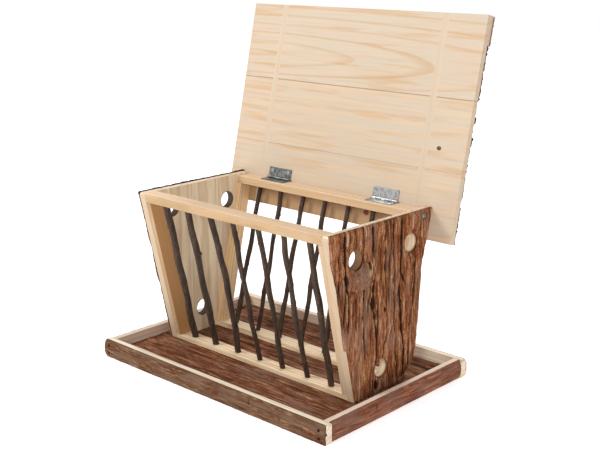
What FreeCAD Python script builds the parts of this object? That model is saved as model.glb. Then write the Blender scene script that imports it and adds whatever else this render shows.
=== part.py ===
import FreeCAD, Part
import math
import os

# Hay manger: a rack of twigs between two bark-faced side panels, with a hinged lid, standing in
# a shallow tray. Millimetres. +X runs along the tray, -Y is the front and +Z is up. The origin is
# the middle of the tray's underside. The lid is modelled open, resting on its stop.

# Tray
tray_length = 384.0
tray_depth = 267.0
rail_height = 24.5
rail_wood = 8.0
rail_bulge = 2.0
rail_bark = 2.0
rail_bark_edge = 0.8
rail_end_round = 2.5
floor_wood = 9.0
floor_bark = 3.5
floor_board_count = 3
floor_board_gap = 0.6

# Rack
rack_height = 207.5
rack_bottom_half = 45.0
rack_top_half = 92.5
side_apron = 17.5
panel_wood = 10.0
panel_bark = 3.5
panel_lip = 1.5
panel_front_seam = -14.0
panel_back_seam = 34.0
panel_seam_gap = 0.4
panel_corner_round = 3.0
panel_hole_diameter = 22.0
upper_hole_offset = 50.0
upper_hole_drop = 34.0
lower_hole_offset = 2.0
lower_hole_rise = 32.0
left_front_hole_shift = 3.5
left_front_hole_rise = 5.5
right_upper_hole_shift = 3.4
right_hole_drop = 2.4

# Frames of twigs
frame_depth = 20.0
stile_width = 7.5
top_rail_height = 12.0
bottom_rail_height = 6.5
twig_count = 7
twig_end_gap = 22.0
twig_diameter = 7.0
twig_plug = 3.5
twig_straight = 7.0
twig_fit = 0.05
twig_crook = 0.7
twig_bends = 6
twig_swell = 0.25
twig_bend_turn = 2.1
twig_bend_phase = 1.7
front_twig_tops = (-3.0, -2.0, -1.0, -2.7, 0.2, 1.2, 1.0)
front_twig_feet = (-2.5, -2.5, -1.0, -1.6, -2.3, -0.9, -2.7)
front_twig_bows = (0.0, 0.0, 4.8, -0.9, 0.8, -3.0, -0.4)
front_twig_growths = (1.6, 1.2, 0.6, -0.8, -0.4, -0.6, 0.4)
back_twig_tops = (6.5, 5.0, 5.7, 4.2, 3.0, 3.0, 2.0)
back_twig_feet = (-1.0, 1.0, 1.2, -0.3, 0.5, 0.5, 0.0)
back_twig_bows = (0.0, 1.0, -1.2, 0.4, -1.0, 0.0, 0.0)
back_twig_growths = (-0.8, -1.0, -0.8, -1.0, -0.8, -0.8, -0.8)

# Lid
lid_length = 377.5
lid_reach = 231.0
lid_tail = 38.0
lid_wood = 8.0
lid_bark = 3.0
lid_shift = 5.5
lid_front_board = 100.0
lid_middle_board = 86.0
lid_gap = 0.4
lid_stop_gap = 0.4
inlay_width = 9.0
inlay_depth = 3.0
inlay_offset = 131.0

# Hinges
hinge_offset = 90.0
hinge_length = 40.0
leaf_width = 13.5
leaf_thickness = 1.1
knuckle_radius = 1.9
knuckle_count = 5
knuckle_gap = 0.3
barrel_gap = 0.3
leaf_notch_gap = 0.5
pin_radius = 0.95
pin_clearance = 0.05
pin_head_radius = 1.5
pin_head_thickness = 0.6

# Fasteners
hinge_screw_offset = 14.0
hinge_screw_inset = 9.0
hinge_screw_length = 5.0
hinge_screw_radius = 1.1
hinge_screw_head = 2.4
panel_screw_length = 32.0
panel_screw_radius = 1.75
panel_screw_head = 3.2
panel_screw_head_height = 1.6
panel_screw_seat_gap = 0.3
top_screw_inset = 12.0
bottom_screw_inset = 6.7
cross_recess_length = 2.8
cross_recess_width = 0.7
cross_recess_depth = 0.5
nail_length = 30.0
nail_radius = 0.8
nail_head_radius = 1.7
nail_head_thickness = 0.7
nail_inset = 9.0
nail_low = 7.5
nail_high = 17.0
floor_screw_length = 34.0
floor_screw_radius = 1.5
floor_screw_head = 3.0
floor_screw_head_depth = 2.0
floor_screw_sunk = 0.4
floor_screw_offset = 25.0

# Finish of the wood
wood_round = 0.7
furrow_pitch = 9.0
furrow_depth = 1.2
furrow_variation = 0.4
furrow_ridge = 0.55
furrow_bottom = 0.8
furrow_turn = 2.3

# Worked-out places
rail_swell = rail_wood + rail_bulge
rail_thickness = rail_swell + rail_bark
tray_half_length = tray_length / 2
tray_half_depth = tray_depth / 2
inside_half_length = tray_half_length - rail_thickness
inside_half_depth = tray_half_depth - rail_thickness
rack_bottom = floor_wood + floor_bark
rack_top = rack_bottom + rack_height
panel_top = rack_top - panel_lip
rack_slope = math.atan2(rack_top_half - rack_bottom_half, rack_height)
panel_inner = inside_half_length - side_apron - panel_bark - panel_wood
panel_face = panel_inner + panel_wood
leaf_offset = knuckle_radius + barrel_gap
axis_z = rack_top + lid_gap - leaf_offset
corner_reach = leaf_offset - lid_stop_gap + math.sin(rack_slope) * (rack_top - axis_z)
axis_y = rack_top_half - corner_reach / math.cos(rack_slope)
back_rail_top = axis_z - leaf_offset
front_rail_top = panel_top
rail_underside = front_rail_top - top_rail_height
foot_rail_top = rack_bottom + bottom_rail_height
open_angle = 90.0 + math.degrees(rack_slope)
lid_under = axis_z + leaf_offset
twig_pitch = 2 * (panel_inner - stile_width - twig_end_gap) / (twig_count - 1)

ALONG_X = FreeCAD.Vector(1, 0, 0)
ALONG_Y = FreeCAD.Vector(0, 1, 0)
ALONG_Z = FreeCAD.Vector(0, 0, 1)


def save(name, *solids):
    """Write one node; a group of alike pieces shares a node."""
    shape = solids[0] if len(solids) == 1 else Part.makeCompound(list(solids))
    shape.exportStep("parts/" + name + ".step")


def block(x0, x1, y0, y1, z0, z1):
    corner = FreeCAD.Vector(x0, y0, z0)
    return Part.makeBox(x1 - x0, y1 - y0, z1 - z0, corner)


def rod(radius, start, end):
    run = end - start
    return Part.makeCylinder(radius, run.Length, start, run)


def extrude(points, run):
    loop = Part.makePolygon(points + [points[0]])
    return Part.Face(loop).extrude(run)


def round_edges(solid, direction, radius):
    """Round every straight edge that runs along the direction."""
    chosen = []
    for edge in solid.Edges:
        span = edge.Vertexes[-1].Point - edge.Vertexes[0].Point
        if span.Length > 0 and span.normalize().cross(direction).Length < 1e-6:
            chosen.append(edge)
    return solid.makeFillet(radius, chosen)


def rack_half(z):
    """Half the rack's depth at a height."""
    return rack_bottom_half + (z - rack_bottom) * math.tan(rack_slope)


def bark_profile(start, end, thickness, phase):
    """Section of bark across the grain: flat against the wood, furrowed outside."""
    count = max(1, round((end - start) / furrow_pitch))
    step = (end - start) / count
    points = [(start, 0.0), (start, thickness)]
    for index in range(count):
        left = start + index * step
        depth = furrow_depth + furrow_variation * math.sin(phase + furrow_turn * index)
        points.append((left + furrow_ridge * step, thickness))
        points.append((left + furrow_bottom * step, thickness - depth))
        points.append((left + step, thickness))
    points.append((end, 0.0))
    return points


def flat_bark(x0, x1, y0, y1, z, thickness, phase):
    """Bark lying on a board, its furrows along X."""
    profile = bark_profile(y0, y1, thickness, phase)
    points = [FreeCAD.Vector(x0, across, z + rise) for across, rise in profile]
    return extrude(points, ALONG_X * (x1 - x0))


def round_screw(radius, head_radius, head_height, length):
    """Screw along -Z with its round head above the origin, and a cross recess."""
    head = Part.makeCylinder(head_radius, head_height)
    top_edges = [edge for edge in head.Edges if edge.BoundBox.ZMin > head_height / 2]
    head = head.makeFillet(head_height / 2, top_edges)
    shank = Part.makeCylinder(radius, length, FreeCAD.Vector(0, 0, -length))
    return cross_recess(head.fuse(shank), head_height)


def sunk_screw(radius, head_radius, head_depth, length):
    """Screw along -Z with its countersunk head's face at the origin, and a cross recess."""
    seat = FreeCAD.Vector(0, 0, -head_depth)
    head = Part.makeCone(radius, head_radius, head_depth, seat)
    shank = Part.makeCylinder(radius, length - head_depth, FreeCAD.Vector(0, 0, -length))
    return cross_recess(head.fuse(shank), 0.0)


def cross_recess(screw, face):
    """Cut the driver's cross into a screw's face."""
    reach = cross_recess_length / 2
    half = cross_recess_width / 2
    low = face - cross_recess_depth
    one = block(-reach, reach, -half, half, low, face)
    other = block(-half, half, -reach, reach, low, face)
    return screw.cut(one.fuse(other)).removeSplitter()


def turned(shape, way, place):
    """Turn a screw that points along -Z so that it points the given way, and put it in place."""
    turn = FreeCAD.Rotation(ALONG_Z * -1, way)
    copy = shape.copy()
    copy.Placement = FreeCAD.Placement(place, turn)
    return copy


# Fasteners first, because the pieces that they hold are drilled for them

def panel_screw_places():
    """Where screws go through the panels into the frame rails: points on the wood's outer face."""
    rows = []
    for side, top in ((-1, front_rail_top), (1, back_rail_top)):
        middle = (rail_underside + top) / 2
        rows.append((side * (rack_half(middle) - top_screw_inset), middle))
        middle = (rack_bottom + foot_rail_top) / 2
        rows.append((side * (rack_half(middle) - bottom_screw_inset), middle))
    return [FreeCAD.Vector(end * panel_face, y, z) for end in (-1, 1) for y, z in rows]


def panel_screws():
    screw = round_screw(panel_screw_radius, panel_screw_head, panel_screw_head_height, panel_screw_length)
    return [turned(screw, inward(place), place) for place in panel_screw_places()]


def inward(place):
    return ALONG_X * (-1 if place.x > 0 else 1)


def drill_for_panel_screws(solid):
    for place in panel_screw_places():
        solid = solid.cut(rod(panel_screw_radius, place, place + inward(place) * panel_screw_length))
    return solid


def nail_places():
    """Where nails go through the long tray rails: points on the bark's face."""
    across = tray_half_length - nail_inset
    return [FreeCAD.Vector(end * across, side * rail_face(z), z)
            for side in (-1, 1) for end in (-1, 1) for z in (nail_low, nail_high)]


def rail_face(z):
    """How far out the bowed bark of a long tray rail lies at a height."""
    bow = rail_thickness - rail_wood - rail_bark_edge
    half = rail_height / 2
    radius = (half ** 2 + bow ** 2) / (2 * bow)
    return tray_half_depth - radius + math.sqrt(radius ** 2 - (z - half) ** 2)


def nail_way(place):
    return ALONG_Y * (-1 if place.y > 0 else 1)


def nail(place, head_radius, shank_radius):
    way = nail_way(place)
    head = rod(head_radius, place, place + way * nail_head_thickness)
    shank = rod(shank_radius, place, place + way * nail_length)
    return head.fuse(shank).removeSplitter()


def drill_for_nails(solid):
    for place in nail_places():
        solid = solid.cut(nail(place, nail_head_radius, nail_radius))
    return solid


def floor_screw_places():
    """Where screws come up through the floor into the side panels."""
    across = panel_inner + panel_wood / 2
    return [FreeCAD.Vector(end * across, side * floor_screw_offset, floor_screw_sunk)
            for end in (-1, 1) for side in (-1, 1)]


def floor_screws():
    screw = sunk_screw(floor_screw_radius, floor_screw_head, floor_screw_head_depth, floor_screw_length)
    return [turned(screw, ALONG_Z, place) for place in floor_screw_places()]


def drill_for_floor_screws(solid):
    for place in floor_screw_places():
        seat = FreeCAD.Vector(place.x, place.y, 0)
        cone_top = place + ALONG_Z * floor_screw_head_depth
        solid = solid.cut(rod(floor_screw_radius, place, place + ALONG_Z * floor_screw_length))
        solid = solid.cut(rod(floor_screw_head, seat, place))
        cone = Part.makeCone(floor_screw_head, floor_screw_radius, cone_top.z - place.z, place)
        solid = solid.cut(cone)
    return solid


def hinge_screw_places(up):
    """Screw heads in the hinge leaves, on the faces that meet when the lid is closed."""
    z = axis_z + up * (leaf_offset - leaf_thickness)
    return [FreeCAD.Vector(end * hinge_offset + along, axis_y - hinge_screw_inset, z)
            for end in (-1, 1) for along in (-hinge_screw_offset, hinge_screw_offset)]


def hinge_screws(up):
    screw = sunk_screw(hinge_screw_radius, hinge_screw_head, leaf_thickness, hinge_screw_length)
    return [turned(screw, ALONG_Z * up, place) for place in hinge_screw_places(up)]


def drill_for_hinge_screws(solid, up):
    for place in hinge_screw_places(up):
        way = ALONG_Z * up
        solid = solid.cut(rod(hinge_screw_radius, place, place + way * hinge_screw_length))
        cone = Part.makeCone(hinge_screw_head, hinge_screw_radius, leaf_thickness, place, way)
        solid = solid.cut(cone)
    return solid


# Tray

def bowed_bar(place, inner, outer, run):
    """Rail or its bark; its two sides have a reach at their edges and one at mid height."""
    corners = []
    sides = []
    for (edge, middle), (start, end) in ((inner, (0, rail_height)), (outer, (rail_height, 0))):
        first = place(edge, start)
        last = place(edge, end)
        if edge == middle:
            sides.append(Part.makeLine(first, last))
        else:
            sides.append(Part.Arc(first, place(middle, rail_height / 2), last).toShape())
        corners += [first, last]
    top = Part.makeLine(corners[1], corners[2])
    bottom = Part.makeLine(corners[3], corners[0])
    return Part.Face(Part.Wire([sides[0], top, sides[1], bottom])).extrude(run)


def long_rail(side):
    """Front or back tray rail: wood and its bark."""
    def place(reach, z):
        return FreeCAD.Vector(-tray_half_length, side * (inside_half_depth + reach), z)

    run = ALONG_X * tray_length
    wood = bowed_bar(place, (0.0, 0.0), (rail_wood, rail_swell), run)
    wood = round_edges(wood, ALONG_X, wood_round)
    bark = bowed_bar(place, (rail_wood, rail_swell), (rail_wood + rail_bark_edge, rail_thickness), run)
    ends = block(-tray_half_length, tray_half_length, -tray_half_depth, tray_half_depth, 0, rail_height)
    ends = round_edges(ends, ALONG_Y, rail_end_round)
    return drill_for_nails(wood.common(ends)), drill_for_nails(bark.common(ends))


def short_rail(end):
    """Left or right tray rail, between the long ones: wood and its bark."""
    def place(reach, z):
        return FreeCAD.Vector(end * (inside_half_length + reach), -inside_half_depth, z)

    run = ALONG_Y * 2 * inside_half_depth
    wood = bowed_bar(place, (0.0, 0.0), (rail_wood, rail_swell), run)
    wood = round_edges(wood, ALONG_Y, wood_round)
    bark = bowed_bar(place, (rail_wood, rail_swell), (rail_wood + rail_bark_edge, rail_thickness), run)
    return drill_for_nails(wood), bark


def floor_boards():
    """Floor boards with the bark side up: a list of boards and a list of their bark."""
    width = (2 * inside_half_depth - (floor_board_count - 1) * floor_board_gap) / floor_board_count
    boards = []
    barks = []
    for index in range(floor_board_count):
        y0 = -inside_half_depth + index * (width + floor_board_gap)
        board = block(-inside_half_length, inside_half_length, y0, y0 + width, 0, floor_wood)
        boards.append(drill_for_floor_screws(board))
        bark = flat_bark(-inside_half_length, inside_half_length, y0, y0 + width, floor_wood, floor_bark,
                         index)
        barks.append(drill_for_floor_screws(bark))
    return boards, barks


# Rack

def panel_outline(x0, x1, top):
    """The side panel's tapering outline as a solid, with its two upper corners rounded."""
    points = [FreeCAD.Vector(x0, -rack_bottom_half, rack_bottom),
              FreeCAD.Vector(x0, rack_bottom_half, rack_bottom),
              FreeCAD.Vector(x0, rack_half(top), top),
              FreeCAD.Vector(x0, -rack_half(top), top)]
    solid = extrude(points, ALONG_X * (x1 - x0))
    upper = [edge for edge in solid.Edges
             if edge.BoundBox.ZMin > top - 1e-3 and edge.BoundBox.YLength < 1e-3]
    return solid.makeFillet(panel_corner_round, upper)


def panel_holes(end):
    """The three holes of one panel; those of the two panels were not drilled in quite the same places."""
    radius = panel_hole_diameter / 2
    upper = rack_top - upper_hole_drop
    places = [(-upper_hole_offset, upper), (lower_hole_offset, rack_bottom + lower_hole_rise),
              (upper_hole_offset, upper)]
    if end < 0:
        places[0] = (left_front_hole_shift - upper_hole_offset, upper + left_front_hole_rise)
    else:
        shifts = (right_upper_hole_shift, 0, right_upper_hole_shift)
        places = [(y + shift, z - right_hole_drop) for (y, z), shift in zip(places, shifts)]
    reach = end * (panel_face + 2 * panel_bark)
    return [rod(radius, FreeCAD.Vector(0, y, z), FreeCAD.Vector(reach, y, z)) for y, z in places]


def panel_spans():
    """Where each upright board begins and ends across the panel."""
    half_gap = panel_seam_gap / 2
    return [(-rack_top_half, panel_front_seam - half_gap),
            (panel_front_seam + half_gap, panel_back_seam - half_gap),
            (panel_back_seam + half_gap, rack_top_half)]


def panel(end):
    """Side panel at the left (-1) or right (+1): a list of boards and a list of their bark."""
    inner = end * panel_inner
    face = end * panel_face
    skin = end * (panel_face + panel_bark)
    wood_outline = panel_outline(inner, face, panel_top)
    bark_outline = panel_outline(face, skin, rack_top)
    boards = []
    barks = []
    for index, ((y0, y1), hole) in enumerate(zip(panel_spans(), panel_holes(end))):
        strip = block(min(inner, face), max(inner, face), y0, y1, rack_bottom, rack_top)
        board = wood_outline.common(strip).cut(hole)
        boards.append(drill_for_floor_screws(drill_for_panel_screws(board)).Solids[0])
        profile = bark_profile(y0, y1, panel_bark, index + end)
        points = [FreeCAD.Vector(face + end * rise, across, rack_bottom) for across, rise in profile]
        bark = extrude(points, ALONG_Z * rack_height).common(bark_outline).cut(hole)
        for place in panel_screw_places():
            outside = place - inward(place) * 2 * panel_bark
            bark = bark.cut(rod(panel_screw_head + panel_screw_seat_gap, place, outside))
        barks.append(bark.Solids[0])
    return boards, barks


def slanted_bar(side, x0, x1, z0, z1):
    """A frame member whose front and back follow the rack's slope; its ends or edges are level."""
    corners = []
    for z, inset in ((z0, 0.0), (z0, frame_depth), (z1, frame_depth), (z1, 0.0)):
        corners.append(FreeCAD.Vector(x0, side * (rack_half(z) - inset), z))
    return extrude(corners, ALONG_X * (x1 - x0))


def frame_rails(side):
    """Top and bottom rail of the front (-1) or back (+1) frame, drilled for twigs and screws."""
    top = front_rail_top if side < 0 else back_rail_top
    upper = slanted_bar(side, -panel_inner, panel_inner, rail_underside, top)
    lower = slanted_bar(side, -panel_inner, panel_inner, rack_bottom, foot_rail_top)
    rails = []
    for rail in (upper, lower):
        rail = drill_for_panel_screws(round_edges(rail, ALONG_X, wood_round))
        for foot, head, radius, bow in twig_ends(side):
            run = (head - foot).normalize() * (twig_plug + 2 * radius)
            rail = rail.cut(rod(radius + twig_fit, foot, foot + run))
            rail = rail.cut(rod(radius + twig_fit, head, head - run))
        rails.append(rail)
    if side > 0:
        rails[0] = drill_for_hinge_screws(rails[0], -1)
    return rails


def stile(side, end):
    """Upright frame member beside the left (-1) or right (+1) panel."""
    outer = end * panel_inner
    inner = outer - end * stile_width
    bar = slanted_bar(side, min(outer, inner), max(outer, inner), foot_rail_top, rail_underside)
    along = FreeCAD.Vector(0, side * math.sin(rack_slope), math.cos(rack_slope))
    return round_edges(bar, along, wood_round)


def twig_ends(side):
    """Each twig's foot and head at the bottoms of its two holes, its radius and its bow."""
    feet = front_twig_feet if side < 0 else back_twig_feet
    tops = front_twig_tops if side < 0 else back_twig_tops
    bows = front_twig_bows if side < 0 else back_twig_bows
    growths = front_twig_growths if side < 0 else back_twig_growths
    low = foot_rail_top - twig_plug
    high = rail_underside + twig_plug
    ends = []
    for index, (foot_lean, top_lean, bow, growth) in enumerate(zip(feet, tops, bows, growths)):
        x = (index - (twig_count - 1) / 2) * twig_pitch
        foot = FreeCAD.Vector(x + foot_lean, side * (rack_half(low) - frame_depth / 2), low)
        head = FreeCAD.Vector(x + top_lean, side * (rack_half(high) - frame_depth / 2), high)
        ends.append((foot, head, (twig_diameter + growth) / 2, bow))
    return ends


def twig(foot, head, radius, bow, phase):
    """A bowed and crooked twig between its two plugs, with slight swellings at its buds."""
    run = (head - foot).normalize()
    length = (head - foot).Length
    sideways = run.cross(ALONG_Y).normalize()
    outward = run.cross(sideways)
    rings = [(0.0, 0.0, 0.0, 0.0), (twig_straight, 0.0, 0.0, 0.0)]
    free = length - 2 * twig_straight
    for bend in range(1, twig_bends + 1):
        along = twig_straight + free * bend / (twig_bends + 1)
        angle = phase * twig_bend_phase + bend * twig_bend_turn
        part = along / length
        aside = twig_crook * math.sin(angle) - bow * 4 * part * (1 - part)
        rings.append((along, aside, twig_crook * math.cos(angle), twig_swell * math.sin(2 * angle)))
    rings.append((length - twig_straight, 0.0, 0.0, 0.0))
    rings.append((length, 0.0, 0.0, 0.0))
    wires = []
    for along, aside, out, swell in rings:
        centre = foot + run * along + sideways * aside + outward * out
        wires.append(Part.Wire([Part.makeCircle(radius + swell, centre, run)]))
    return Part.makeLoft(wires, True, True)


# Lid, built closed and then turned open about the hinge axis

def opened(shape):
    copy = shape.copy()
    copy.rotate(FreeCAD.Vector(0, axis_y, axis_z), ALONG_X, -open_angle)
    return copy


def lid_spans():
    """Where each lid board begins and ends, from the front edge to the back edge."""
    front = axis_y - lid_reach
    first = front + lid_front_board
    second = first + lid_middle_board
    return [(front, first), (first, second), (second, axis_y + lid_tail)]


def inlay_places():
    return [lid_shift - inlay_offset, lid_shift + inlay_offset]


def inlay(x):
    """Cross strip let in flush with the lid's underside."""
    front = axis_y - lid_reach
    back = axis_y + lid_tail
    half = inlay_width / 2
    return block(x - half, x + half, front, back, lid_under, lid_under + inlay_depth)


def lid_boards():
    """Lid boards and their bark, in the closed pose."""
    x0 = lid_shift - lid_length / 2
    x1 = lid_shift + lid_length / 2
    wood_top = lid_under + lid_wood
    boards = []
    barks = []
    for index, (y0, y1) in enumerate(lid_spans()):
        board = round_edges(block(x0, x1, y0, y1, lid_under, wood_top), ALONG_X, wood_round)
        for x in inlay_places():
            board = board.cut(inlay(x))
        boards.append(drill_for_hinge_screws(board, 1))
        barks.append(flat_bark(x0, x1, y0, y1, wood_top, lid_bark, index))
    return boards, barks


# Hinges

def knuckle_span(index):
    """Start and end of one knuckle along the hinge, from the hinge's middle."""
    pitch = hinge_length / knuckle_count
    start = -hinge_length / 2 + index * pitch
    low = start + (knuckle_gap / 2 if index > 0 else 0.0)
    high = start + pitch - (knuckle_gap / 2 if index < knuckle_count - 1 else 0.0)
    return low, high


def hinge_leaf(middle, up):
    """Leaf below (-1, on the rail) or above (+1, on the lid) the hinge axis, lid closed."""
    far = axis_z + up * leaf_offset
    near = far - up * leaf_thickness
    low = min(far, near)
    high = max(far, near)
    notch = knuckle_radius + leaf_notch_gap
    half = hinge_length / 2
    leaf = block(middle - half, middle + half, axis_y - leaf_width, axis_y - notch, low, high)
    for index in range(0 if up < 0 else 1, knuckle_count, 2):
        start, end = knuckle_span(index)
        web = block(middle + start, middle + end, axis_y - notch, axis_y, low, high)
        barrel = rod(knuckle_radius, FreeCAD.Vector(middle + start, axis_y, axis_z),
                     FreeCAD.Vector(middle + end, axis_y, axis_z))
        leaf = leaf.fuse([web, barrel])
    bore = rod(pin_radius + pin_clearance, FreeCAD.Vector(middle - hinge_length, axis_y, axis_z),
               FreeCAD.Vector(middle + hinge_length, axis_y, axis_z))
    return drill_for_hinge_screws(leaf.cut(bore), up).removeSplitter()


def hinge_pin(middle):
    """Pin with a peened head at each end of the barrel."""
    half = hinge_length / 2
    outer = half + pin_head_thickness
    axis = FreeCAD.Vector(middle, axis_y, axis_z)
    pin = rod(pin_radius, axis - ALONG_X * outer, axis + ALONG_X * outer)
    for end in (-1, 1):
        head = rod(pin_head_radius, axis + ALONG_X * end * half, axis + ALONG_X * end * outer)
        pin = pin.fuse(head)
    return pin.removeSplitter()


def build_tray():
    for name, side in (("front", -1), ("back", 1)):
        wood, bark = long_rail(side)
        save("tray_" + name + "_rail", wood)
        save("tray_" + name + "_rail_bark", bark)
    for name, end in (("left", -1), ("right", 1)):
        wood, bark = short_rail(end)
        save("tray_" + name + "_rail", wood)
        save("tray_" + name + "_rail_bark", bark)
    boards, barks = floor_boards()
    for index, board in enumerate(boards):
        save("floor_board_%d" % (index + 1), board)
    save("floor_bark", *barks)
    save("tray_rail_nails", *[nail(place, nail_head_radius, nail_radius) for place in nail_places()])


def build_rack():
    for name, end in (("left", -1), ("right", 1)):
        boards, barks = panel(end)
        for row, board in zip(("front", "middle", "back"), boards):
            save(name + "_panel_" + row + "_board", board)
        save(name + "_panel_bark", *barks)
    for name, side in (("front", -1), ("back", 1)):
        upper, lower = frame_rails(side)
        save(name + "_top_rail", upper)
        save(name + "_bottom_rail", lower)
        save(name + "_left_stile", stile(side, -1))
        save(name + "_right_stile", stile(side, 1))
        for index, (foot, head, radius, bow) in enumerate(twig_ends(side)):
            save("%s_twig_%d" % (name, index + 1), twig(foot, head, radius, bow, index + side))
    save("panel_screws", *panel_screws())
    save("rack_floor_screws", *floor_screws())


def build_lid():
    boards, barks = lid_boards()
    for name, board in zip(("front", "middle", "back"), boards):
        save("lid_" + name + "_board", opened(board))
    save("lid_bark", *[opened(bark) for bark in barks])
    for name, x in zip(("left", "right"), inlay_places()):
        save("lid_" + name + "_inlay", opened(inlay(x)))
    for name, end in (("left", -1), ("right", 1)):
        middle = end * hinge_offset
        save(name + "_hinge_fixed_leaf", hinge_leaf(middle, -1))
        save(name + "_hinge_moving_leaf", opened(hinge_leaf(middle, 1)))
        save(name + "_hinge_pin", hinge_pin(middle))
    save("hinge_rail_screws", *hinge_screws(-1))
    save("hinge_lid_screws", *[opened(screw) for screw in hinge_screws(1)])


os.makedirs("parts", exist_ok=True)
build_tray()
build_rack()
build_lid()
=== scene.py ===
# %% [markdown]
# # A small hay manger with bark-faced sides
# This is a hay rack for small animals: a trough of twigs between two bark-faced side panels, with a
# hinged lid, standing in a shallow tray. The CAD frame already holds every solid piece in its true
# place. This script gives those pieces their looks: sawn pine, rough bark with frayed rims, knobbly
# twigs and zinc-plated hinges. The frame is loaded first and is never moved.

# %% Load the frame
import math

import bmesh
import bpy
import numpy as np
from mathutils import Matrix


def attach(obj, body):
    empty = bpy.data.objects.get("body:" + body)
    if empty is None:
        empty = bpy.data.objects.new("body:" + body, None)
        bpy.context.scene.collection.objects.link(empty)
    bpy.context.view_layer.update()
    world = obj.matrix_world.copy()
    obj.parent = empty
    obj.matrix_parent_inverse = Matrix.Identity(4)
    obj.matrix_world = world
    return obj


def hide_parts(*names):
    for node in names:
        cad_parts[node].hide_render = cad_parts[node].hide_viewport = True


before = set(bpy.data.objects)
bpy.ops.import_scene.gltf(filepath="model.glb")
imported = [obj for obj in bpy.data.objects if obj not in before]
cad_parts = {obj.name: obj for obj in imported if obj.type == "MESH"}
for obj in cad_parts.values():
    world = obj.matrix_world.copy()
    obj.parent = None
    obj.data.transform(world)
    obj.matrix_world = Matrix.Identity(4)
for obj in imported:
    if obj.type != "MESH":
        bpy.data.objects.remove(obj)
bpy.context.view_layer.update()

MM = 0.001
print("CAD pieces loaded:", len(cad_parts))

# %% [markdown]
# Looks are worked out in millimetres and in three directions: along the grain of a piece, across it
# and out of its face. Sizes could be typed in again, but then a new size of the rack would have to be
# changed in two places. So whatever the frame can give, such as the lean of the rack, is measured on it.

# %% Measure the frame
X, Y, Z = np.eye(3)
AT_FOOT = 0.01
WELL_ABOVE = 50


def points(node):
    """The corners of a CAD node at rest, one row each, in millimetres."""
    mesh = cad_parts[node].data
    flat = np.zeros(len(mesh.vertices) * 3)
    mesh.vertices.foreach_get("co", flat)
    return flat.reshape(-1, 3) / MM


def extent(node, direction):
    """Lowest and highest place of a CAD node along a direction, in millimetres."""
    places = points(node) @ direction
    return places.min(), places.max()


rear_board = points("right_panel_back_board")
rack_foot, rack_top = extent("right_panel_bark", Z)
half_foot = rear_board[rear_board[:, 2] < rack_foot + AT_FOOT][:, 1].max()
above_foot = rear_board[rear_board[:, 2] > rack_foot + WELL_ABOVE]
slope = ((above_foot[:, 1] - half_foot) / (above_foot[:, 2] - rack_foot)).max()
lean = math.atan(slope)
UP_LID = np.array((0, math.sin(lean), math.cos(lean)))
OUT_LID = np.array((0, math.cos(lean), -math.sin(lean)))
UP_FRONT = np.array((0, -math.sin(lean), math.cos(lean)))
OUT_FRONT = np.array((0, -math.cos(lean), -math.sin(lean)))
print("rack from", rack_foot, "to", rack_top, "mm, leaning", round(math.degrees(lean), 2), "degrees")


def half_depth(height):
    """Half the rack's depth at a height, in millimetres."""
    return half_foot + (height - rack_foot) * slope


# %% [markdown]
# The photograph was taken from the front right, a little higher than the top of the open lid, with a
# lens a little longer than normal. A camera could be aimed by eye, but its place, turn and lens were
# fitted to the photograph first, so that every later difference between the picture and the render is
# a difference in shape or finish.

# %% Camera
camera_place = (0.8724, -0.9050, 0.5166)
camera_side = math.radians(42.86)
camera_rise = math.radians(14.72)
camera_lens = 63.23
camera_film = 36

camera = bpy.data.objects.new("camera", bpy.data.cameras.new("camera"))
camera.data.lens = camera_lens
camera.data.sensor_width = camera_film
camera.location = camera_place
camera.rotation_euler = (math.pi / 2 - camera_rise, 0, camera_side)
bpy.context.scene.collection.objects.link(camera)
bpy.context.scene.camera = camera
print("camera at", camera_place, "with a lens of", camera_lens, "mm")

# %% [markdown]
# Shader graphs are easier to read as sums than as boxes and wires. This class wraps one output of a
# graph: adding or multiplying two of them adds a Math node, and `node` adds any other kind of node,
# its settings first and then the values or links of its sockets. Each operator also has a form with its
# sides swapped, for sums that start with a plain number.


# %% Shader expressions
def both_ways(operation):
    """An operator's method, and the same one with its two sides swapped."""
    return (lambda self, other: self.math(operation, self, other),
            lambda self, other: self.math(operation, other, self))


class Wire:
    """One output of a shader graph; arithmetic on it adds Math nodes."""

    def __init__(self, tree, socket=None):
        self.tree = tree
        self.socket = socket

    def node(self, kind, settings, plugs, output=0):
        """Add a node: settings, then values or links by socket name or number; gives one output."""
        made = self.tree.nodes.new("ShaderNode" + kind)
        for name, setting in settings.items():
            if name == "stops":
                stops = made.color_ramp.elements
                while len(stops) < len(setting):
                    stops.new(1.0)
                for stop, (place, colour) in zip(stops, setting):
                    stop.position = place
                    stop.color = colour
            else:
                setattr(made, name, setting)
        for key, plug in plugs.items():
            if isinstance(plug, Wire):
                self.tree.links.new(plug.socket, made.inputs[key])
            else:
                made.inputs[key].default_value = plug
        return Wire(self.tree, made.outputs[output] if made.outputs else None)

    def math(self, operation, first, second=0.0):
        return self.node("Math", {"operation": operation}, {0: first, 1: second})

    __add__, __radd__ = both_ways("ADD")
    __sub__, __rsub__ = both_ways("SUBTRACT")
    __mul__, __rmul__ = both_ways("MULTIPLY")
    __truediv__, __rtruediv__ = both_ways("DIVIDE")
    __pow__, __rpow__ = both_ways("POWER")

    def smooth(self, low, high):
        """0 below low, 1 above high, and an even slide between."""
        return self.node("MapRange", {"interpolation_type": "SMOOTHSTEP"}, {0: self, 1: low, 2: high})

    def mixed(self, first, second):
        """The first colour where this value is 0, the second where it is 1."""
        return self.node("Mix", {"data_type": "RGBA"}, {0: self, 6: first, 7: second}, 2)


print("shader expressions ready")

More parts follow.
